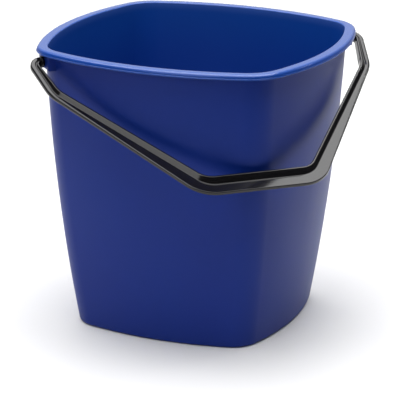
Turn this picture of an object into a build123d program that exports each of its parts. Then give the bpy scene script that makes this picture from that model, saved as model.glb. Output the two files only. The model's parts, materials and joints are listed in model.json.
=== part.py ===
"""Square wash bucket with convex sides and a swinging moulded bail, in millimetres.

The frame has +Z up and its origin at the middle of the face that the bucket stands on. X runs
through the two opposite corners that carry the bail, so the corner that pours points to -Y, and
the bail hangs round that corner.
"""
from build123d import *
import os
from math import asin, atan2, cos, hypot, sin, sqrt

# ---------------------------------------------------------------- driving dimensions

# Bucket, in plan: half widths are measured square to the sides
bucket_height = 263.0      # from the standing face to the top of the rim
side_radius = 266.0        # the four sides bow out on this radius
top_half = 126.3           # centre to the middle of a side, outside the wall, level with the rim
top_corner_radius = 36.0
base_half = 96.5           # and at the standing face
base_corner_radius = 28.0
wall_swell = 0.58          # how far the wall stands out from a straight taper
wall_thickness = 2.2
floor_thickness = 2.6
floor_chamfer = 3.5        # between the floor and the wall, inside
base_chamfer = 2.0         # round the outside of the foot
foot_height = 2.5          # the floor is raised by this on a ring-shaped foot
foot_width = 7.0

# Rim: a flat flange with a lip turned down at its outer edge
rim_overhang = 8.7         # the outside of the wall to the rim's outer edge
rim_corner_radius = 42.0
rim_thickness = 2.4
lip_height = 4.0           # from the top of the rim to the lower edge of the lip
lip_thickness = 2.0
rim_edge_radius = 1.8
lip_chamfer = 0.5
mouth_chamfer = 0.9        # where the wall's inside turns onto the rim

# Lugs: hollow bosses under the rim on the two bail corners, open below
lug_depth = 4.1            # the wall's corner, level with the pivot, to the lug's outer face
lug_width = 27.0
lug_height = 14.0          # below the lip's lower edge
lug_wall = 1.8
lug_edge_radius = 1.2

# Bail, seen square to its own plane
pivot_drop = 12.2          # top of the rim to the pivot axis
rest_gap = 0.3             # between the grip and the corner that it hangs against
stud_radius = 4.0
stud_clearance = 0.1       # round the stud, in the lug's hole
head_radius = 4.9          # the stud's snap-in head, inside the lug
head_tip_radius = 3.4
head_length = 1.5
head_gap = 0.3             # between the head and the inside of the lug's face
eye_radius = 5.2
eye_thickness = 2.6
lug_gap = 0.4              # between the eye and the lug's face
end_offset = 5.5           # the rim's corner to where the arm's line meets the pivot axis
end_radius = 7.0           # the arm turns in to its eye on this radius
bend_offset = 4.0          # the lug's face to the bend in the arm
bend_drop = 42.0           # pivot axis to the bend
bend_radius = 30.0
grip_half = 51.4           # half the distance between the grip's corners
grip_drop = 169.2          # pivot axis to the middle of the grip
grip_radius = 24.0

# Bail, across its T section: a web with a round outer edge and a flange along the inside.
# Each station gives the path to the flange's face, the path to the web's edge, and half the
# flange's width.
web_half = 2.6             # half the web's thickness
flange_thickness = 2.0
flange_chamfer = 0.4
end_section = (3.1, 4.8, 3.9)
bend_section = (5.6, 3.8, 4.4)
corner_section = (6.2, 10.3, 5.4)
grip_section = (6.0, 10.3, 7.0)

# ---------------------------------------------------------------- shared geometry

pivot_height = bucket_height - pivot_drop
flange_bottom = bucket_height - rim_thickness
lip_bottom = bucket_height - lip_height
lug_bottom = lip_bottom - lug_height
floor_top = foot_height + floor_thickness
levels = [bucket_height * step / 5 for step in range(6)]


def corner_centre(half, bow, corner):
    """The same distance in x and y, for a quarter of a bowed square whose sides face X and Y."""
    inset = bow - half
    return (sqrt(2 * (bow - corner) ** 2 - inset * inset) - inset) / 2


def corner_reach(half, bow, corner):
    """Centre of a bowed square to the tip of its rounded corner."""
    return corner_centre(half, bow, corner) * sqrt(2) + corner


def bulged_square(half, bow, corner, mode=Mode.ADD):
    """A face with four convex sides and four rounded corners, its corners on X and Y."""
    centre = corner_centre(half, bow, corner)
    inset = bow - half
    turn = atan2(centre, centre + inset)
    near = bow * cos(turn) - inset
    along = bow * sin(turn)
    tip = corner_reach(half, bow, corner) / sqrt(2)
    outline = [(near, -along), (half, 0), (near, along), (tip, tip), (along, near)]
    with BuildLine() as sides:
        for quarter in range(4):
            points = [Vector(*point).rotate(Axis.Z, 45 + 90 * quarter) for point in outline]
            ThreePointArc(*points[:3])
            ThreePointArc(*points[2:])
    make_face(sides.line, mode=mode)


def wall_plan(height, inset=0):
    """Half width, side radius and corner radius of the wall at a height, drawn in by an inset."""
    t = height / bucket_height
    swell = t + wall_swell * t * (1 - t)
    half = base_half + (top_half - base_half) * swell
    corner = base_corner_radius + (top_corner_radius - base_corner_radius) * t
    return half - inset, side_radius - inset, corner - inset


def rim_plan(inset=0):
    """The same for the rim's outer edge, drawn in by an inset."""
    return top_half + rim_overhang - inset, side_radius - inset, rim_corner_radius - inset


lug_reach = corner_reach(*wall_plan(pivot_height)) + lug_depth
lug_inside = lug_reach - lug_wall


# ---------------------------------------------------------------- bucket

with BuildPart() as outside:
    for level in levels:
        with BuildSketch(Plane.XY.offset(level)):
            bulged_square(*wall_plan(level))
    loft(ruled=True)
    chamfer(outside.faces().sort_by(Axis.Z)[0].edges(), base_chamfer)

with BuildPart() as inside:
    for level in [floor_top] + levels[1:]:
        with BuildSketch(Plane.XY.offset(level)):
            bulged_square(*wall_plan(level, wall_thickness))
    loft(ruled=True)
    chamfer(inside.faces().sort_by(Axis.Z)[0].edges(), floor_chamfer)

with BuildPart() as lug_hollows:
    with BuildSketch(Plane.XY.offset(lug_bottom)):
        Rectangle(2 * lug_inside, lug_width - 2 * lug_wall)
    extrude(amount=flange_bottom - lug_bottom)
    add(outside.part, mode=Mode.SUBTRACT)

with BuildPart() as bucket:
    # Lugs, before the rim covers them
    with BuildSketch(Plane.XY.offset(lug_bottom)):
        Rectangle(2 * lug_reach, lug_width)
    extrude(amount=flange_bottom - lug_bottom)
    fillet(bucket.edges().filter_by(Axis.Z), lug_edge_radius)
    # Rim flange, and the lip below it
    with BuildSketch(Plane.XY.offset(flange_bottom)):
        bulged_square(*rim_plan())
    extrude(amount=rim_thickness)
    with BuildSketch(Plane.XY.offset(lip_bottom)):
        bulged_square(*rim_plan())
        bulged_square(*rim_plan(lip_thickness), mode=Mode.SUBTRACT)
    extrude(amount=lip_height - rim_thickness)
    chamfer(bucket.edges().filter_by_position(Axis.Z, lip_bottom, lip_bottom), lip_chamfer)
    fillet(bucket.faces().sort_by(Axis.Z)[-1].edges(), rim_edge_radius)
    # Wall and floor
    add(outside.part)
    add(inside.part, mode=Mode.SUBTRACT)
    add(lug_hollows.part, mode=Mode.SUBTRACT)
    chamfer(bucket.faces().sort_by(Axis.Z)[-1].inner_wires()[0].edges(), mouth_chamfer)
    # Foot
    with BuildSketch():
        bulged_square(*wall_plan(0, foot_width))
    extrude(amount=foot_height, mode=Mode.SUBTRACT)
    # Holes for the bail's studs
    for side in (-1, 1):
        with BuildSketch(Plane.YZ.offset(side * (lug_inside - head_gap))):
            with Locations((0, pivot_height)):
                Circle(stud_radius + stud_clearance)
        extrude(amount=side * (lug_wall + lug_gap + head_gap), mode=Mode.SUBTRACT)
bucket.part.label = "bucket"

# ---------------------------------------------------------------- handle

# The bail hangs until the edge of its flange meets the corner that pours
flange_drop = grip_drop - grip_section[0]
rest_radius = hypot(flange_drop, grip_section[2])
rest_tilt = atan2(grip_section[2], flange_drop)
hang = 1.0
for _ in range(20):
    rest_height = pivot_height - rest_radius * cos(hang - rest_tilt)
    rest_reach = corner_reach(*wall_plan(rest_height)) + rest_gap
    hang = rest_tilt + asin(rest_reach / rest_radius)
bail_plane = Plane((0, 0, pivot_height), x_dir=(1, 0, 0), z_dir=(0, -cos(hang), sin(hang)))
eye_face = lug_reach + lug_gap
eye_back = eye_face + eye_thickness
head_base = lug_inside - head_gap
head_tip = head_base - head_length
end_reach = corner_reach(*rim_plan()) + end_offset
bend_reach = lug_reach + bend_offset


def bail_section(edge, end, to_face, to_nose, flange_half):
    """The T section of the bail, square to an edge of its path at the edge's start or end."""
    neck = flange_thickness - to_face
    crown = to_nose - web_half
    with BuildLine() as outline:
        Polyline(
            (neck, -flange_half), (-to_face, -flange_half), (-to_face, flange_half), (neck, flange_half)
        )
        TangentArc((0, web_half), (neck, flange_half), tangent=(-1, 0))
        Line((0, web_half), (crown, web_half))
        ThreePointArc((crown, web_half), (to_nose, 0), (crown, -web_half))
        Line((crown, -web_half), (0, -web_half))
        TangentArc((0, -web_half), (neck, -flange_half), tangent=(-1, 0))
    outward = bail_plane.z_dir.cross(edge % end)
    with BuildSketch(Plane(edge @ end, x_dir=outward, z_dir=edge % end)) as section:
        make_face(outline.line)
        chamfer(section.vertices().sort_by(lambda corner: abs(corner.Y))[-4:], flange_chamfer)
    return section.sketch


with BuildPart() as handle:
    # Half of the bail, one piece of its path at a time
    with BuildLine(bail_plane) as bail_path:
        FilletPolyline(
            (eye_face, 0),
            (end_reach, 0),
            (bend_reach, -bend_drop),
            (grip_half, -grip_drop),
            (0, -grip_drop),
            radius=(end_radius, bend_radius, grip_radius),
        )
    sections = [end_section] * 3 + [bend_section] * 2 + [corner_section] + [grip_section] * 2
    for edge, start, finish in zip(bail_path.wire().order_edges(), sections, sections[1:]):
        sweep(
            [bail_section(edge, 0, *start), bail_section(edge, 1, *finish)],
            path=edge,
            multisection=True,
        )
    # Eye, stud and snap-in head, turned about the pivot
    with BuildSketch(bail_plane):
        with BuildLine():
            Polyline(
                (eye_back, 0),
                (eye_back, eye_radius),
                (eye_face, eye_radius),
                (eye_face, stud_radius),
                (head_base, stud_radius),
                (head_base, head_radius),
                (head_tip, head_tip_radius),
                (head_tip, 0),
                close=True,
            )
        make_face()
    revolve(axis=Axis(bail_plane.origin, bail_plane.x_dir))
    mirror(about=Plane.YZ)
handle.part.label = "handle"

# ---------------------------------------------------------------- files

os.makedirs("parts", exist_ok=True)
for piece in (bucket, handle):
    export_step(piece.part, f"parts/{piece.part.label}.step")
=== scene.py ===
import json
import math

import bpy
from bpy.props import FloatProperty, FloatVectorProperty, PointerProperty
from mathutils import Matrix, Vector


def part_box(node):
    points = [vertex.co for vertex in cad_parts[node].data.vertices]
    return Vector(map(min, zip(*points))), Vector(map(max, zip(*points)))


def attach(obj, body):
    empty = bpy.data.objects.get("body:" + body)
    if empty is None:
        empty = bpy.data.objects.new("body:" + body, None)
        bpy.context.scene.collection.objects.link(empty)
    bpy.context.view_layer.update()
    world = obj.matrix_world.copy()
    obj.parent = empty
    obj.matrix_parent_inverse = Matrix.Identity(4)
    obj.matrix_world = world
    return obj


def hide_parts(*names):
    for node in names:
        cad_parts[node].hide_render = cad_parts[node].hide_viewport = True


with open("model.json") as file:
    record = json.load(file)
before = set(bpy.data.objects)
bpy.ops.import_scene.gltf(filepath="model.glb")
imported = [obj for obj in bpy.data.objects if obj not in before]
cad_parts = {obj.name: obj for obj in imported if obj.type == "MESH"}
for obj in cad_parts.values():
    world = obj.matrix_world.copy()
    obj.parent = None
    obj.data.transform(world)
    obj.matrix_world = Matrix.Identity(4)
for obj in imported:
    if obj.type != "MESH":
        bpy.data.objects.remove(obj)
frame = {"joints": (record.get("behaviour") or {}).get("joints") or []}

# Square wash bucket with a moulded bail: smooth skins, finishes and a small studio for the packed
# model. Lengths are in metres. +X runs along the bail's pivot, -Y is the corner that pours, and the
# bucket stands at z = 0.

bl_info = {
    "name": "Wash Bucket",
    "version": (1, 0, 0),
    "blender": (4, 2, 0),
    "location": "View3D > Sidebar > Wash Bucket",
    "description": "Models a square wash bucket with a swinging bail and lights it in a small studio",
    "category": "Add Mesh",
}

MM = 0.001
SWING = frame["joints"][0]
PIVOT = Vector(SWING["pos_m"])
HANG = math.radians((360 - SWING["range_deg"][1]) / 2)  # between straight down and the bail at rest
RIM_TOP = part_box("bucket")[1].z

# Steps that the skins are divided into
SIDE_STEPS = 24     # along each bowed side of the bucket
CORNER_STEPS = 28   # round each of its corners
WALL_STEPS = 48     # up the wall, outside and inside
ROOT_STEPS = 4      # round the small inner corners under the rim and at the foot
LIP_STEPS = 5       # round the lip's inner lower edge, and twice as many round the bead outside it
MOUTH_STEPS = 7     # round the rim's inner edge
EDGE_STEPS = 8      # round the foot, the rim's outer edge and the edge of the floor
RIM_STEPS = 12      # across the top of the rim
BEVEL_STEPS = 6     # round the lugs' upright edges and the corners of the bail's section
PATH_STEPS = 16     # along each straight and each bend of the bail
EYE_STEPS = 5       # round the eyes' edges
SPIN_STEPS = 48     # round the eyes, the studs and their holes

FLOOR_RINGS = (40 * MM, 70 * MM)  # insets, from the foot of the wall, of rings across the floor
LUG_BLOCK = 10 * MM               # depth of the block that a lug is hollowed from
EYE_BITE = 0.5 * MM               # how deep the end of the bail's arm sits in its eye
NICK = 0.2 * MM                   # small chamfers on the stud and its head
FLARE = 0.3 * MM                  # how much wider the stud is where it leaves the eye
SHARP = math.radians(30)          # edges that turn by more than this stay sharp
RELIEF = 0.2 * MM                 # depth of the grain on both plastics


def length(name, description, millimetres):
    """A length property, given in millimetres and kept in metres."""
    return FloatProperty(
        name=name, description=description, default=millimetres * MM, min=0, unit="LENGTH", precision=5
    )


def colour(name, description, *shade):
    """A colour property, in scene-linear values."""
    return FloatVectorProperty(
        name=name, description=description, default=shade, subtype="COLOR", min=0, max=1
    )


def power(name, description, watts):
    """The power of a light."""
    return FloatProperty(name=name, description=description, default=watts)


def angle(name, description, degrees):
    """An angle property, given in degrees and kept in radians."""
    return FloatProperty(
        name=name, description=description, default=math.radians(degrees), subtype="ANGLE"
    )


def section(name, *millimetres):
    """A T section of the bail, its sizes given in millimetres from the line of its path."""
    description = (
        "Inwards to the flange's face, outwards to the web's edge, half the flange's width, half the "
        "web's thickness, rounding of the web's edge, bottom of the groove, outwards and across, and "
        "start of the web's flat side"
    )
    sizes = [size * MM for size in millimetres]
    return FloatVectorProperty(
        name=name, description=description, default=sizes, size=8, unit="LENGTH", precision=5
    )


# ---------------------------------------------------------------- settings


class BucketSettings(bpy.types.PropertyGroup):
    """Sizes and colours of the moulded bucket."""

    rim_half: length("Rim half width", "Centre to the middle of a side, on the rim's edge", 134.95)
    rim_corner: length("Rim corner radius", "Corner radius of the rim's outer edge", 42.0)
    top_half: length("Wall half width, top", "Centre to the wall's outside, level with the rim", 126.3)
    top_corner: length("Wall corner radius, top", "Corner radius of the wall, level with the rim", 36.0)
    base_half: length("Wall half width, base", "Centre to the wall's outside, at the foot", 96.5)
    base_corner: length("Wall corner radius, base", "Corner radius of the wall, at the foot", 28.0)
    side_radius: length("Side radius", "Radius that the four sides bow out on", 266.0)
    swell: FloatProperty(
        name="Wall swell", description="How far the wall stands out from a straight taper", default=0.58
    )
    wall: length("Wall thickness", "Thickness of the wall", 2.2)
    floor: length("Floor thickness", "Thickness of the floor", 2.6)
    foot_height: length("Foot height", "Height of the ring that the bucket stands on", 2.5)
    foot_width: length("Foot width", "Width of that ring", 7.0)
    base_edge: length("Base edge radius", "Rounding of the outer edge at the base", 3.0)
    floor_edge: length("Floor edge radius", "Rounding between the floor and the wall, inside", 5.0)
    rim_thickness: length("Rim thickness", "Thickness of the flange round the mouth", 2.4)
    lip_height: length("Lip height", "Top of the rim to the lower edge of its lip", 4.8)
    lip_thickness: length("Lip thickness", "Thickness of the turned-down lip", 2.0)
    rim_edge: length("Rim edge radius", "Rounding of the rim's upper outer edge", 3.1)
    rim_fall: length("Rim fall", "How far the rim's top falls away towards its outer edge", 0.1)
    lip_edge: length("Lip edge radius", "Rounding of the lip's lower edges", 0.8)
    lip_bead: length("Lip bead", "How far the bead along the lip's lower edge stands out", 0.45)
    mouth_edge: length("Mouth edge radius", "Rounding of the rim's inner edge", 1.4)
    root: length("Root radius", "Rounding in the corners under the rim and at the foot", 0.6)
    lug_reach: length("Lug reach", "Centre of the bucket to the face of a lug", 148.5)
    lug_width: length("Lug width", "Width of a lug", 27.0)
    lug_height: length("Lug height", "Height of a lug below the lip", 13.2)
    lug_wall: length("Lug wall", "Wall thickness of a hollow lug", 1.8)
    lug_edge: length("Lug edge radius", "Rounding of a lug's upright edges", 1.2)
    hole: length("Stud hole radius", "Radius of the hole for the bail's stud", 4.1)
    blue: colour("Blue", "Colour of the moulded plastic", 0.003, 0.021, 0.2)
    # Paler blue of painted light, for the inside and the lip, and for a little random cloud
    painted_light_and_cloud_blue: colour("Light blue", "Its colour inside", 0.003, 0.045, 0.265)
    # Light blue of painted highlight on the rim's top and just inside its edge
    painted_rim_light_blue: colour("Rim blue", "Its colour on top of the rim", 0.03, 0.085, 0.33)


class BailSettings(bpy.types.PropertyGroup):
    """Sizes and colour of the moulded bail."""

    end_reach: length("End reach", "Centre to where the arm's line meets the pivot axis", 158.8)
    end_radius: length("End radius", "Radius on which the arm turns in to its eye", 7.0)
    bend_reach: length("Bend reach", "Centre to the bend of the arm", 152.5)
    bend_drop: length("Bend drop", "Pivot axis to the bend of the arm", 42.0)
    bend_radius: length("Bend radius", "Radius of the bend", 30.0)
    grip_half: length("Grip half length", "Half the distance between the grip's corners", 51.4)
    grip_drop: length("Grip drop", "Pivot axis to the middle of the grip", 169.15)
    grip_radius: length("Grip corner radius", "Radius of the grip's corners", 24.0)
    flange: length("Flange thickness", "Thickness of the flange", 2.0)
    flange_edge: length("Flange edge radius", "Rounding of the flange's edges", 0.9)
    root: length("Root radius", "Rounding between the flange and the web", 0.7)
    end_section: section("At the ends", 3.1, 4.8, 3.9, 2.6, 1.7, -0.3, 1.3, 0.9)
    bend_section: section("Above the bends", 5.6, 3.8, 4.4, 2.5, 1.7, -1.4, 1.0, -0.1)
    arm_section: section("Below the bends", 5.6, 3.8, 4.4, 2.2, 1.9, -0.5, 1.9, 1.6)
    corner_section: section("At the corners", 6.2, 10.2, 5.4, 1.8, 0.9, -1.0, 1.75, 1.0)
    grip_section: section("Along the grip", 6.0, 10.0, 7.0, 1.8, 0.9, -0.5, 1.75, 1.5)
    eye_gap: length("Eye gap", "Gap between the eye and the lug", 0.4)
    eye_radius: length("Eye radius", "Radius of the round eye", 5.2)
    eye_thickness: length("Eye thickness", "Thickness of the eye", 2.6)
    eye_edge: length("Eye edge radius", "Rounding of the eye's outer edge", 0.6)
    stud_radius: length("Stud radius", "Radius of the stud", 4.0)
    head_radius: length("Head radius", "Radius of the stud's snap-in head", 4.9)
    head_tip: length("Head tip radius", "Radius at the tip of the head", 3.4)
    head_length: length("Head length", "Length of the head", 1.5)
    head_gap: length("Head gap", "Gap between the head and the inside of the lug", 0.3)
    black: colour("Black", "Colour of the bail's plastic", 0.006, 0.0055, 0.0068)


class StudioSettings(bpy.types.PropertyGroup):
    """Camera, floor and lights."""

    azimuth: angle("Camera azimuth", "Turn of the camera from the corner that pours", -21.88)
    elevation: angle("Camera elevation", "Angle that the camera looks down at", 17.47)
    roll: angle("Camera roll", "Turn of the camera about its own view", 0.59)
    distance: length("Camera distance", "Camera to the point that it aims at", 2251.4)
    lens: FloatProperty(name="Lens", description="Focal length on a 36 mm sensor", default=217.96)
    aim: FloatVectorProperty(
        name="Aim", description="Point that the camera looks at", default=(0.00243, -0.00098, 0.1059),
        subtype="TRANSLATION",
    )
    softbox: power("Softbox power", "Power of the overhead softbox", 92.0)
    side_softbox: power("Side power", "Power of the softbox at the left", 10.0)
    spark: power("Spark power", "Power of the small light at the right", 2.0)
    floor: colour("Floor", "Colour of the studio floor round the bucket", 0.75, 0.75, 0.755)
    # Paler colour of painted light, for the floor far from the bucket
    far_floor: colour("Far floor", "Its colour in the distance", 0.95, 0.95, 0.95)


# ---------------------------------------------------------------- shader maths


class Shade:
    """A socket in a node tree, so that shader maths can be written as expressions."""

    def __init__(self, graph, socket):
        self.graph, self.socket = graph, socket

    def math(self, operation, first, second):
        """The result of a maths node on two shades or numbers."""
        return self.graph.node("ShaderNodeMath", {"operation": operation}, [first, second])

    def __add__(self, other):
        return self.math("ADD", self, other)

    def __sub__(self, other):
        return self.math("SUBTRACT", self, other)

    def __rsub__(self, other):
        return self.math("SUBTRACT", other, self)

    def __mul__(self, other):
        return self.math("MULTIPLY", self, other)

    __radd__, __rmul__ = __add__, __mul__

    def rise(self, low, high):
        """0 below low, 1 above high, and a smooth rise between them."""
        settings = {"interpolation_type": "SMOOTHSTEP"}
        return self.graph.node("ShaderNodeMapRange", settings, [self, low, high, 0.0, 1.0])


class Graph:
    """A node tree, and the means to add nodes to it."""

    def __init__(self, tree):
        self.tree = tree

    def node(self, kind, settings, inputs, output=0):
        """Adds a node: its settings first, then its sockets in order or by name."""
        made = self.tree.nodes.new(kind)
        for setting, value in settings.items():
            setattr(made, setting, value)
        pairs = inputs.items() if isinstance(inputs, dict) else enumerate(inputs)
        for key, value in pairs:
            self.join(value, made.inputs[key])
        return Shade(self, made.outputs[output])

    def dot(self, first, second):
        """How far one direction goes along another."""
        settings = {"operation": "DOT_PRODUCT"}
        return self.node("ShaderNodeVectorMath", settings, [first, second], "Value")

    def join(self, value, socket):
        """Links a shade to a socket, or sets the socket to a plain value."""
        if isinstance(value, Shade):
            self.tree.links.new(value.socket, socket)
        else:
            socket.default_value = value


class Finish(Graph):
    """A new material with one Principled shader."""

    def __init__(self, name, **constants):
        self.material = bpy.data.materials.new(name)
        self.material.use_nodes = True
        super().__init__(self.material.node_tree)
        self.shader = next(n for n in self.tree.nodes if n.type == "BSDF_PRINCIPLED")
        for socket, value in constants.items():
            self.drive(socket.replace("_", " "), value)
        self.place = self.node("ShaderNodeTexCoord", {}, [], "Object")

    def drive(self, socket, value):
        """Gives the shader a value or a shade."""
        self.join(value, self.shader.inputs[socket])

    def noise(self, scale, detail=3.0, stretch=(1, 1, 1)):
        """A soft pattern of a given scale, from 0 to 1."""
        spread = self.node("ShaderNodeVectorMath", {"operation": "MULTIPLY"}, [self.place, stretch])
        return self.node("ShaderNodeTexNoise", {}, {"Vector": spread, "Scale": scale, "Detail": detail})

    def blend(self, factor, first, second):
        """A colour between two others."""
        first, second = (c if isinstance(c, Shade) else (*c, 1.0) for c in (first, second))
        return self.node("ShaderNodeMix", {"data_type": "RGBA"}, {0: factor, 6: first, 7: second}, 2)

    def bump(self, height, strength, distance):
        """Small relief in the surface."""
        inputs = {"Strength": strength, "Distance": distance, "Height": height}
        self.drive("Normal", self.node("ShaderNodeBump", {}, inputs))


def bucket_finish(blue, painted_light_and_cloud_blue, painted_rim_light_blue):
    """Blue moulded plastic: satin on the walls and glossier on the rim and its lip. Its colour holds
    painted light: paler on the rim's top, on the lip and inside, most of all towards the rim."""
    finish = Finish("Bucket blue", Specular_IOR_Level=0.17, Coat_Roughness=0.15)
    facing = finish.node("ShaderNodeNewGeometry", {}, [], "Normal")
    spokes = finish.node("ShaderNodeVectorMath", {"operation": "MULTIPLY"}, [finish.place, (1, 1, 0)])
    outwards = finish.dot(spokes, facing)
    height = finish.node("ShaderNodeSeparateXYZ", {}, [finish.place], "Z")
    upwards = finish.node("ShaderNodeSeparateXYZ", {}, [facing], "Z")

    def from_rim(start, end):
        """0 at the first depth below the rim's top and 1 at the second, with a rise between them."""
        return height.rise(RIM_TOP - start, RIM_TOP - end)

    # Where the rim's top, its lip and the inside of the wall are. The rim's mask also takes how far the
    # surface faces up, so the colour it carries is painted highlight; in roughness and coat these masks
    # are real gloss.
    rim = from_rim(4 * MM, 3 * MM) * upwards.rise(0.6, 0.97)
    lip = from_rim(6 * MM, 5 * MM)
    inner = 1 - outwards.rise(-0.04, 0.0)
    # Painted light: the inside is painted paler towards the rim, and again just below it
    inside = inner * (0.4 + from_rim(60 * MM, 0) * 0.6)
    painted_light_below_rim_edge = inner * from_rim(9 * MM, 0)
    cloud = finish.noise(9.0).rise(0.3, 0.7)
    # Painted light: the inside and the lip are painted paler, with a little random cloud in the tone
    walls = finish.blend(inside + lip * 0.9 + cloud * 0.1, blue, painted_light_and_cloud_blue)
    # Painted highlight: the rim's top, and the inside just below its edge, are painted in a light blue
    finish.drive("Base Color", finish.blend(rim * 0.9 + painted_light_below_rim_edge * 0.9, walls, painted_rim_light_blue))
    smears = finish.noise(30.0, 4.0, (1, 1, 0.3))
    finish.drive("Roughness", 0.38 + smears * 0.08 - rim * 0.2)
    finish.drive("Coat Weight", lip * 0.3 + rim * 0.3)
    finish.bump(finish.noise(900.0, 2.0), 0.08, RELIEF)
    return finish.material


def bail_finish(black):
    """Glossy black plastic with faint marks of handling."""
    finish = Finish("Bail black", Specular_IOR_Level=0.42)
    marks = finish.noise(60.0, 5.0)
    deep, pale = [c * 0.9 for c in black], [c * 1.2 for c in black]
    finish.drive("Base Color", finish.blend(marks.rise(0.35, 0.7), deep, pale))
    finish.drive("Roughness", 0.09 + marks * 0.06)
    finish.bump(finish.noise(500.0, 2.0), 0.05, RELIEF)
    return finish.material


def floor_finish(near, far):
    """A dull floor, painted paler in the distance: painted light, so the floor reads brighter away from
    the bucket.
    """
    finish = Finish("Studio floor", Roughness=0.6)
    away = finish.node("ShaderNodeVectorMath", {"operation": "LENGTH"}, [finish.place], "Value")
    finish.drive("Base Color", finish.blend(away.rise(0.5, 1.4), near, far))
    return finish.material


# ---------------------------------------------------------------- modelling


def deselect():
    """Clears the selection."""
    for obj in bpy.context.selected_objects:
        obj.select_set(False)


def choose(piece):
    """Selects one object only and makes it active."""
    deselect()
    piece.select_set(True)
    bpy.context.view_layer.objects.active = piece


def pick(piece, kind, items, test):
    """Enters edit mode with only the faces or edges selected that pass a test."""
    choose(piece)
    bpy.ops.object.mode_set(mode="EDIT")
    bpy.ops.mesh.select_mode(type=kind)
    bpy.ops.mesh.select_all(action="DESELECT")
    bpy.ops.object.mode_set(mode="OBJECT")
    for item in items:
        item.select = test(item)
    bpy.ops.object.mode_set(mode="EDIT")


def pick_faces(piece, test):
    """Picks the faces that pass a test."""
    pick(piece, "FACE", piece.data.polygons, test)


def pick_edges(piece, test):
    """Picks the edges whose two ends pass a test."""
    points = [vertex.co.copy() for vertex in piece.data.vertices]
    pick(piece, "EDGE", piece.data.edges, lambda edge: test(*[points[i] for i in edge.vertices]))


def arc(centre, radius, first, last, steps):
    """Points on an arc of a section, between two angles in degrees."""
    angles = [math.radians(first + (last - first) * step / steps) for step in range(steps + 1)]
    return [(centre[0] + radius * math.cos(a), centre[1] + radius * math.sin(a)) for a in angles]


def rounded(before, corner, after, radius):
    """Points on the rounding of a corner between two others."""
    way_in, way_out = (corner - before).normalized(), (after - corner).normalized()
    turn = way_in.angle_signed(way_out)
    first = corner - way_in * radius * abs(math.tan(turn / 2))
    side = math.copysign(1, turn)
    centre = first + Vector((way_in.y, -way_in.x)) * radius * side
    turns = [-turn * step / BEVEL_STEPS for step in range(BEVEL_STEPS + 1)]
    return [centre + Matrix.Rotation(a, 2) @ (first - centre) for a in turns]


def wrap(name, rings):
    """A closed skin: a grid wrapped round rings of points, with its seam merged and its ends filled."""
    rows, columns = len(rings) - 1, len(rings[0])
    deselect()
    bpy.ops.mesh.primitive_grid_add(x_subdivisions=columns, y_subdivisions=rows, size=1)
    skin = bpy.context.object
    skin.name = name
    for vertex in skin.data.vertices:
        row, column = round((vertex.co.y + 0.5) * rows), round((vertex.co.x + 0.5) * columns)
        vertex.co = rings[row][column % columns]
    bpy.ops.object.mode_set(mode="EDIT")
    bpy.ops.mesh.select_all(action="SELECT")
    bpy.ops.mesh.remove_doubles(threshold=1e-6)
    bpy.ops.mesh.fill_holes(sides=0)
    bpy.ops.mesh.select_all(action="SELECT")
    bpy.ops.mesh.normals_make_consistent(inside=False)
    bpy.ops.object.mode_set(mode="OBJECT")
    return skin


def turned(name, profile, side):
    """A closed skin turned about the pivot axis from points of (reach, radius)."""
    turns = [math.radians(360 / SPIN_STEPS * step) for step in range(SPIN_STEPS)]
    spins = [Matrix.Rotation(a, 3, "X") for a in turns]
    points = [Vector((side * reach, 0, radius)) for reach, radius in profile]
    return wrap(name, [[PIVOT + spin @ point for spin in spins] for point in points])


def modify(piece, kind, **settings):
    """Adds a modifier to a piece and applies it."""
    choose(piece)
    bpy.ops.object.modifier_add(type=kind)
    change = piece.modifiers[-1]
    for setting, value in settings.items():
        setattr(change, setting, value)
    bpy.ops.object.modifier_apply(modifier=change.name)


def combine(piece, other, operation):
    """Adds another closed piece to a piece, or cuts it away."""
    modify(piece, "BOOLEAN", object=other, operation=operation, solver="EXACT")
    bpy.data.objects.remove(other, do_unlink=True)


def smooth(piece):
    """Smooth shading that breaks only at real edges and keeps flats flat."""
    choose(piece)
    bpy.ops.object.shade_smooth_by_angle(angle=SHARP)
    modify(piece, "WEIGHTED_NORMAL", keep_sharp=True)


def dress(piece, material, node):
    """Gives a finished piece its finish, and says which body it is and rides on."""
    piece.data.materials.clear()
    piece.data.materials.append(material)
    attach(piece, node)
    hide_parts(node)


# ---------------------------------------------------------------- bucket


def plan(half, side_radius, corner_radius, height):
    """A ring round a square with bowed sides and rounded corners, its corners on X and Y."""
    inset, reach = side_radius - half, side_radius - corner_radius
    centre = (math.sqrt(2 * reach * reach - inset * inset) - inset) / 2
    turn = math.atan2(centre, centre + inset)
    quarter = []
    for step in range(SIDE_STEPS):
        a = turn * (2 * step / SIDE_STEPS - 1)
        x, y = side_radius * math.cos(a) - inset, side_radius * math.sin(a)
        quarter.append(Vector((x, y, height)))
    for step in range(CORNER_STEPS):
        a = turn + (math.pi / 2 - 2 * turn) * step / CORNER_STEPS
        x, y = centre + corner_radius * math.cos(a), centre + corner_radius * math.sin(a)
        quarter.append(Vector((x, y, height)))
    spins = [Matrix.Rotation(math.radians(degrees), 3, "Z") for degrees in (45, 135, 225, 315)]
    return [spin @ point for spin in spins for point in quarter]


def wall_ring(b, height, inset=0.0):
    """A ring on the outside of the wall, or drawn in from it, with corners of 1 mm or more."""
    t = height / RIM_TOP
    half = b.base_half + (b.top_half - b.base_half) * (t + b.swell * t * (1 - t))
    corner = b.base_corner + (b.top_corner - b.base_corner) * t
    return plan(half - inset, b.side_radius - inset, max(corner - inset, MM), height)


def flat_ring(b, height, inset):
    """A ring drawn in from the foot of the wall, at another height."""
    return [Vector((x, y, height)) for x, y, _ in wall_ring(b, 0, inset)]


def rim_ring(b, height, inset):
    """A ring drawn in from the rim's outer edge."""
    return plan(b.rim_half - inset, b.side_radius - inset, b.rim_corner - inset, height)


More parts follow.
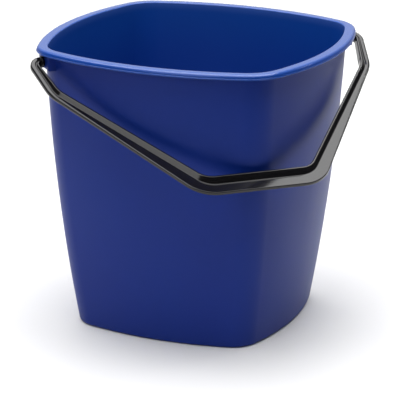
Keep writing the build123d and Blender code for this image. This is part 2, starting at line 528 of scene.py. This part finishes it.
def wall_tip(b, height):
    """Centre of the bucket to the wall's outside, on a corner."""
    return max(point.x for point in wall_ring(b, height))


def bend(b, ring, *section):
    """Rings of one kind along an arc of the bucket's section."""
    return [ring(b, z, inset) for inset, z in arc(*section)]


def straight(b, start, end, inset=0.0):
    """Rings on the wall between two heights, without the ones at those heights."""
    heights = [start + (end - start) * step / WALL_STEPS for step in range(1, WALL_STEPS)]
    return [wall_ring(b, height, inset) for height in heights]


def rim_top(b, outer, inner):
    """Rings across the rim's top, between its outer and inner ring, that fall away to the outside."""
    rings = []
    for share in [step / RIM_STEPS for step in range(1, RIM_STEPS)]:
        height = RIM_TOP - b.rim_fall * (1 - share) ** 3
        ring = [p.lerp(q, share) for p, q in zip(outer, inner)]
        rings.append([Vector((x, y, height)) for x, y, _ in ring])
    return rings


def bucket_skin(b):
    """All of the moulding but its lugs: under the floor, up the wall, over the rim and down inside."""
    foot, root, wall, lip, edge = b.foot_width, b.root, b.wall, b.lip_thickness, b.lip_edge
    flange_bottom, lip_bottom = RIM_TOP - b.rim_thickness, RIM_TOP - b.lip_height
    lip_middle, mouth_bottom = lip_bottom + edge, RIM_TOP - b.mouth_edge
    floor_top = b.foot_height + b.floor
    floor_side = floor_top + b.floor_edge
    # Under the floor, from its middle, and round the foot
    insets = (*reversed(FLOOR_RINGS), foot + 8 * MM)
    rings = [flat_ring(b, b.foot_height, inset) for inset in insets]
    rings += bend(b, flat_ring, (foot + root, b.foot_height - root), root, 90, 180, ROOT_STEPS)
    rings += bend(b, flat_ring, (foot - root, root), root, 0, -90, ROOT_STEPS)
    rings += bend(b, wall_ring, (b.base_edge, b.base_edge), b.base_edge, 270, 180, EDGE_STEPS)
    # Up the wall and out under the flange
    rings += straight(b, b.base_edge, flange_bottom - root)
    rings += bend(b, wall_ring, (-root, flange_bottom - root), root, 0, 90, ROOT_STEPS)
    rings += bend(b, rim_ring, (lip + root, flange_bottom - root), root, 90, 180, ROOT_STEPS)
    # Round the lip to where its bead meets its flat side
    bead_end = math.degrees(math.acos(b.lip_bead / edge - 1))
    rings += bend(b, rim_ring, (lip - edge, lip_middle), edge, 0, -90, LIP_STEPS)
    rings += bend(b, rim_ring, (edge, lip_middle), edge, 270, bead_end, 2 * LIP_STEPS)
    # Round the rim's outer edge to the slope that its top starts with
    width = b.rim_half - b.top_half + wall - b.lip_bead - b.rim_edge - b.mouth_edge
    slope = math.atan(3 * b.rim_fall / width)
    centre = (b.lip_bead + b.rim_edge, RIM_TOP - b.rim_fall - b.rim_edge * math.cos(slope))
    rings += bend(b, rim_ring, centre, b.rim_edge, 180, 90 + math.degrees(slope), EDGE_STEPS)
    # Across the rim, down inside and over the floor
    mouth = bend(b, wall_ring, (wall - b.mouth_edge, mouth_bottom), b.mouth_edge, 90, 0, MOUTH_STEPS)
    rings += rim_top(b, rings[-1], mouth[0]) + mouth
    rings += straight(b, mouth_bottom, floor_side, wall)
    rings += bend(b, wall_ring, (wall + b.floor_edge, floor_side), b.floor_edge, 180, 270, EDGE_STEPS)
    rings += [flat_ring(b, floor_top, inset) for inset in (16 * MM, *FLOOR_RINGS)]
    return wrap("Bucket", rings)


def lug(b, side):
    """A hollow lug: a face and two cheeks that run back into the wall, with a hole for the stud."""
    low, high = RIM_TOP - b.lip_height - b.lug_height, RIM_TOP - b.rim_thickness / 2
    middle = b.lug_reach - LUG_BLOCK / 2
    deselect()
    bpy.ops.mesh.primitive_cube_add(
        size=1, location=(middle, 0, (low + high) / 2), scale=(LUG_BLOCK, b.lug_width, high - low)
    )
    piece = bpy.context.object
    bpy.ops.object.transform_apply(location=True, rotation=False, scale=True)
    # The back edges move into the wall, which curves away from its corner by the sag
    sag = wall_tip(b, low) - max(p.x for p in wall_ring(b, low) if abs(p.y) > b.lug_width / 2)
    for vertex in piece.data.vertices:
        if vertex.co.x < middle:
            vertex.co.x = wall_tip(b, vertex.co.z) - sag - b.wall / 2
    # The lug is open at the back and below, and the rim closes it above
    pick_faces(piece, lambda face: abs(face.normal.y) < 0.5 and face.normal.x < 0.7)
    bpy.ops.mesh.delete(type="FACE")
    bpy.ops.object.mode_set(mode="OBJECT")
    modify(piece, "SOLIDIFY", thickness=b.lug_wall, offset=-1)
    corner = Vector((b.lug_reach, b.lug_width / 2))

    def on_corner(point):
        """Whether a point is on one of the two upright edges of the face."""
        return (Vector((point.x, abs(point.y))) - corner).length < MM

    pick_edges(piece, lambda p, q: on_corner(p) and on_corner(q))
    bpy.ops.mesh.bevel(offset=b.lug_edge, segments=BEVEL_STEPS)
    bpy.ops.object.mode_set(mode="OBJECT")
    # The lug on the other side is this one mirrored
    if side < 0:
        bpy.ops.object.mode_set(mode="EDIT")
        bpy.ops.mesh.select_all(action="SELECT")
        bpy.ops.transform.mirror(constraint_axis=(True, False, False), center_override=(0, 0, 0))
        bpy.ops.mesh.normals_make_consistent(inside=False)
        bpy.ops.object.mode_set(mode="OBJECT")
    # The hole goes through the face, from outside it into the hollow
    drill = turned("Drill", [(b.lug_reach - 4 * MM, b.hole), (b.lug_reach + MM, b.hole)], side)
    combine(piece, drill, "DIFFERENCE")
    return piece


class WASHBUCKET_OT_bucket(bpy.types.Operator):
    """Models the bucket: one skin round wall, rim and floor, with a hollow lug on each bail corner."""

    bl_idname = "washbucket.bucket"
    bl_label = "Make Bucket"

    def execute(self, context):
        b = context.scene.bucket_settings
        bucket = bucket_skin(b)
        for side in (-1, 1):
            combine(bucket, lug(b, side), "UNION")
        smooth(bucket)
        dress(bucket, bucket_finish(b.blue, b.painted_light_and_cloud_blue, b.painted_rim_light_blue), "bucket")
        return {"FINISHED"}


# ---------------------------------------------------------------- bail


def bail_stations(h, face):
    """Half of the bail's path: (reach, drop), direction outwards, and how far along in spans. Each
    straight and each bend is one span."""
    points = [(face, 0), (h.end_reach, 0), (h.bend_reach, h.bend_drop), (h.grip_half, h.grip_drop)]
    points = [Vector(point) for point in points + [(0, h.grip_drop)]]
    shares = [step / PATH_STEPS for step in range(PATH_STEPS)]
    stations, start = [], points[0]
    for i, radius in enumerate((h.end_radius, h.bend_radius, h.grip_radius)):
        before, corner, after = points[i:i + 3]
        way_in, way_out = (corner - before).normalized(), (after - corner).normalized()
        turn = way_in.angle(way_out)
        back = radius * math.tan(turn / 2)
        out = Vector((way_in.y, -way_in.x))
        first, last = corner - way_in * back, corner + way_out * back
        centre = first - out * radius
        stations += [(start.lerp(first, share), out, 2 * i + share) for share in shares]
        for share in shares:
            facing = out * math.cos(turn * share) + way_in * math.sin(turn * share)
            stations.append((centre + facing * radius, facing, 2 * i + 1 + share))
        start = last
    out = Vector((0, 1))
    return stations + [(start.lerp(points[4], share), out, 6 + share) for share in shares + [1.0]]


def bail_section(h, face, nose, half, web, edge, dip_out, dip_across, flat):
    """Points round the T section: (outwards from the path, across it)."""
    neck = h.flange - face
    corners = [
        (-face, half, h.flange_edge),
        (neck, half, h.flange_edge),
        (dip_out, dip_across, h.root),
        (flat, web, h.root),
        (nose, web, edge),
    ]
    points = [Vector(corner[:2]) for corner in corners]
    start, end = Vector((-face, 0)), Vector((nose, 0))
    line = [start, Vector((-face, half * 0.45))]  # the second divides the flange's flat face
    chain = [start, *points, end]
    for before, corner, after, (_, _, radius) in zip(chain, points, points[1:] + [end], corners):
        line += rounded(before, corner, after, radius)
    line.append(end)
    return line + [Vector((x, -y)) for x, y in reversed(line[1:-1])]


def bail_skin(h, face):
    """The whole T-section moulding from one eye to the other, as one skin."""
    down = Vector((0, -math.sin(HANG), -math.cos(HANG)))
    across = Vector((0, -math.cos(HANG), math.sin(HANG)))
    end, grip = h.end_section, h.grip_section
    spans = (end, end, end, h.bend_section, h.arm_section, h.corner_section, grip, grip, grip)
    sections = [Vector(sizes) for sizes in spans]  # one at the start of each span of the path
    rings = []
    for (reach, drop), (out_x, out_down), along in bail_stations(h, face):
        span = int(along)
        sizes = sections[span].lerp(sections[span + 1], along - span)
        base = PIVOT + Vector((reach, 0, 0)) + down * drop
        out = Vector((out_x, 0, 0)) + down * out_down
        rings.append([base + out * x + across * y for x, y in bail_section(h, *sizes)])
    mirrored = [[Vector((-x, y, z)) for x, y, z in ring] for ring in reversed(rings[:-1])]
    return wrap("Bail", rings + mirrored)


def bail_end(h, face, lug_inside, side):
    """An eye with its stud and snap-in head, turned about the pivot."""
    base = lug_inside - h.head_gap
    tip = base - h.head_length
    edge, back = h.eye_edge, face + h.eye_thickness
    profile = [(back, h.eye_radius / 2)]
    profile += arc((back - edge, h.eye_radius - edge), edge, 0, 90, EYE_STEPS)
    profile += arc((face + edge, h.eye_radius - edge), edge, 90, 180, EYE_STEPS)
    profile += [(face, h.stud_radius + FLARE), (face - NICK, h.stud_radius), (base, h.stud_radius)]
    profile += [(base, h.head_radius - NICK), (base - NICK, h.head_radius)]
    profile += [(tip + NICK, h.head_tip + NICK), (tip, h.head_tip), (tip, h.head_tip / 2)]
    return turned("Bail end", profile, side)


class WASHBUCKET_OT_bail(bpy.types.Operator):
    """Models the bail: a T-section hoop with a flat grip, and an eye and stud at each end."""

    bl_idname = "washbucket.bail"
    bl_label = "Make Bail"

    def execute(self, context):
        b, h = context.scene.bucket_settings, context.scene.bail_settings
        face = b.lug_reach + h.eye_gap
        bail = bail_skin(h, face + EYE_BITE)
        for side in (-1, 1):
            combine(bail, bail_end(h, face, b.lug_reach - b.lug_wall, side), "UNION")
        smooth(bail)
        dress(bail, bail_finish(h.black), "handle")
        return {"FINISHED"}


# ---------------------------------------------------------------- studio


# Name, setting for its power, place, point that it faces and size
LIGHTS = (
    ("Softbox", "softbox", (0, 0.1, 1.9), (0, 0, 0), 2.4),
    ("Side softbox", "side_softbox", (-1.6, -1.2, 1.3), (-0.1, 0, 0.2), 1.1),
    ("Spark", "spark", (1.75, 0.1, 1.15), (0, 0, 0.2), 0.12),
)
FLOOR_CENTRE = (0, 1.0, 0)
FLOOR_SIZE = (2.6, 3.4, 1)
GLOW_FROM = (0.2, 0.98, 0.0)  # where the surround gives its light
GLOW_LEAST, GLOW_RISE = 0.04, 0.55


def softbox(name, watts, place, aim, size):
    """A square area light that faces a point."""
    deselect()
    bpy.ops.object.light_add(type="AREA", location=place)
    light = bpy.context.object
    light.name = name
    light.rotation_euler = (Vector(aim) - Vector(place)).to_track_quat("-Z", "Y").to_euler()
    light.data.size = size
    light.data.energy = watts
    light.visible_camera = False


def studio_floor(near, far):
    """A wide floor that runs on behind the bucket."""
    deselect()
    bpy.ops.mesh.primitive_plane_add(size=1, location=FLOOR_CENTRE)
    ground = bpy.context.object
    ground.name = "Studio floor"
    ground.scale = FLOOR_SIZE
    bpy.ops.object.transform_apply(location=True, rotation=False, scale=True)
    ground.data.materials.append(floor_finish(near, far))


def studio_world():
    """A surround that looks white, and whose light comes from behind the bucket."""
    world = bpy.data.worlds.new("Studio")
    bpy.context.scene.world = world
    world.use_nodes = True
    graph = Graph(world.node_tree)
    background = next(n for n in graph.tree.nodes if n.type == "BACKGROUND")
    away = graph.dot(graph.node("ShaderNodeTexCoord", {}, [], "Generated"), GLOW_FROM)
    glow = GLOW_LEAST + away.rise(0.3, 0.9) * GLOW_RISE
    seen = graph.node("ShaderNodeLightPath", {}, [], "Is Camera Ray")
    background.inputs["Color"].default_value = (1, 1, 1, 1)
    graph.join(glow + seen * (1 - glow), background.inputs["Strength"])


def studio_camera(s):
    """A long lens that looks a little down at the corner that pours."""
    back = Vector((
        math.sin(s.azimuth) * math.cos(s.elevation),
        -math.cos(s.azimuth) * math.cos(s.elevation),
        math.sin(s.elevation),
    ))
    deselect()
    bpy.ops.object.camera_add(location=Vector(s.aim) + back * s.distance)
    camera = bpy.context.object
    camera.data.lens = s.lens
    turn = back.to_track_quat("Z", "Y").to_matrix() @ Matrix.Rotation(s.roll, 3, "Z")
    camera.rotation_euler = turn.to_euler()
    bpy.context.scene.camera = camera


class WASHBUCKET_OT_studio(bpy.types.Operator):
    """Sets up a pale floor, three lights, a white surround and the camera."""

    bl_idname = "washbucket.studio"
    bl_label = "Make Studio"

    def execute(self, context):
        s = context.scene.studio_settings
        studio_floor(s.floor, s.far_floor)
        for name, setting, place, aim, size in LIGHTS:
            softbox(name, getattr(s, setting), place, aim, size)
        studio_world()
        studio_camera(s)
        context.scene.view_settings.view_transform = "Standard"
        return {"FINISHED"}


# ---------------------------------------------------------------- panel


class WASHBUCKET_PT_panel(bpy.types.Panel):
    """Buttons and sizes in the sidebar of the 3D view."""

    bl_label = "Wash Bucket"
    bl_space_type = "VIEW_3D"
    bl_region_type = "UI"
    bl_category = "Wash Bucket"

    def draw(self, context):
        for operator, group in BUTTONS:
            box = self.layout.box()
            box.operator(operator.bl_idname)
            settings = getattr(context.scene, group)
            for name in settings.bl_rna.properties.keys():
                if name not in ("rna_type", "name"):
                    box.prop(settings, name)


BUTTONS = (
    (WASHBUCKET_OT_bucket, "bucket_settings"),
    (WASHBUCKET_OT_bail, "bail_settings"),
    (WASHBUCKET_OT_studio, "studio_settings"),
)
GROUPS = {
    "bucket_settings": BucketSettings,
    "bail_settings": BailSettings,
    "studio_settings": StudioSettings,
}


def register():
    """Adds the settings, the buttons and the panel."""
    for name, group in GROUPS.items():
        bpy.utils.register_class(group)
        setattr(bpy.types.Scene, name, PointerProperty(type=group))
    for operator, _ in BUTTONS:
        bpy.utils.register_class(operator)
    bpy.utils.register_class(WASHBUCKET_PT_panel)


def unregister():
    """Takes them away again."""
    bpy.utils.unregister_class(WASHBUCKET_PT_panel)
    for operator, _ in BUTTONS:
        bpy.utils.unregister_class(operator)
    for name, group in GROUPS.items():
        delattr(bpy.types.Scene, name)
        bpy.utils.unregister_class(group)


def main():
    """Builds everything."""
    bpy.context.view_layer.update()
    register()
    bpy.ops.washbucket.bucket()
    bpy.ops.washbucket.bail()
    bpy.ops.washbucket.studio()


if __name__ == "__main__":
    main()
